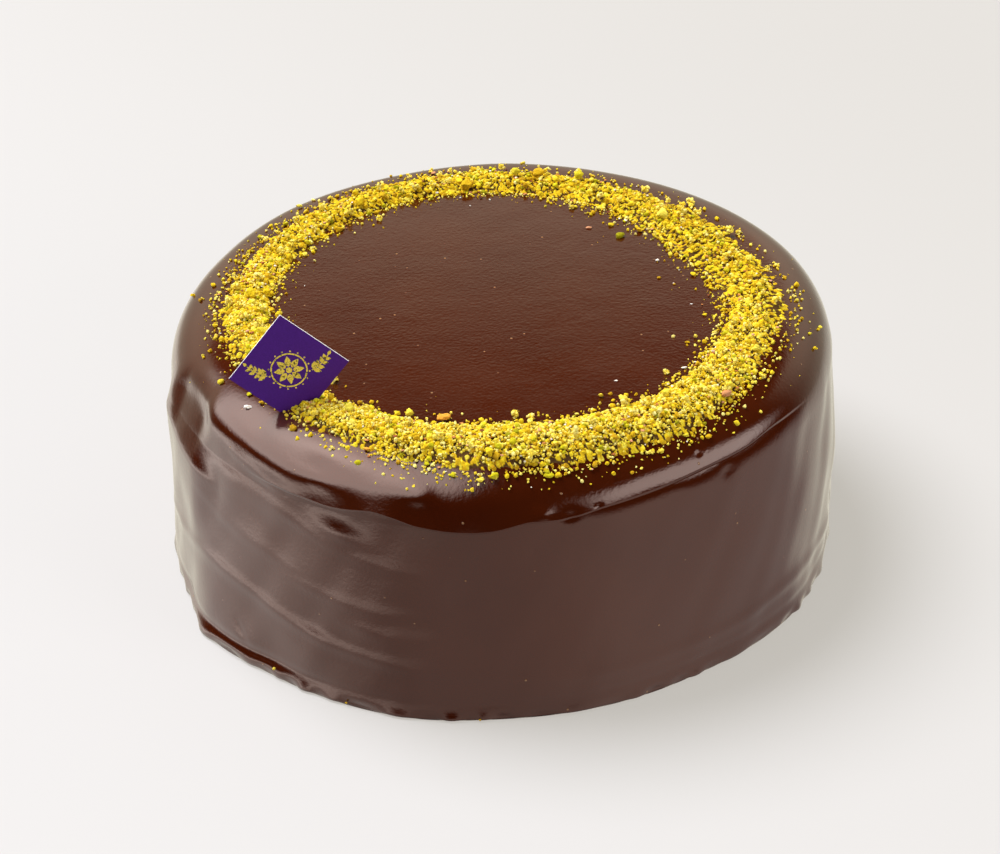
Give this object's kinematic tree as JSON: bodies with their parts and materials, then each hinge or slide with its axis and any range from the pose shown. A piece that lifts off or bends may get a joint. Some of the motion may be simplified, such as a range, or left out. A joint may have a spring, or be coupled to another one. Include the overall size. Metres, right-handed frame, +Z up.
{
  "type": "dubai chocolate cake",
  "caption": "Whole round cake in dark chocolate glaze, with a ring of chopped pistachio on top and a small square card pushed in by one corner.",
  "frame": {"origin": "middle of the round base, on the surface that the cake stands on", "axes": "+Z up, -Y towards the front, where the card stands on the left; +X to the right"},
  "size_m": [0.2103, 0.2099, 0.1102],
  "materials": {
    "chocolate_glaze": "dark chocolate glaze with a soft gloss",
    "purple_card": "smooth purple printed card with white cut edges",
    "pistachio_crumbs": "matte yellow and green chopped pistachio",
    "gold_print": "gold foil ornament"
  },
  "bodies": {
    "root": {"glazed_cake": "chocolate_glaze", "tag_card": "purple_card"}
  },
  "joints": []
}
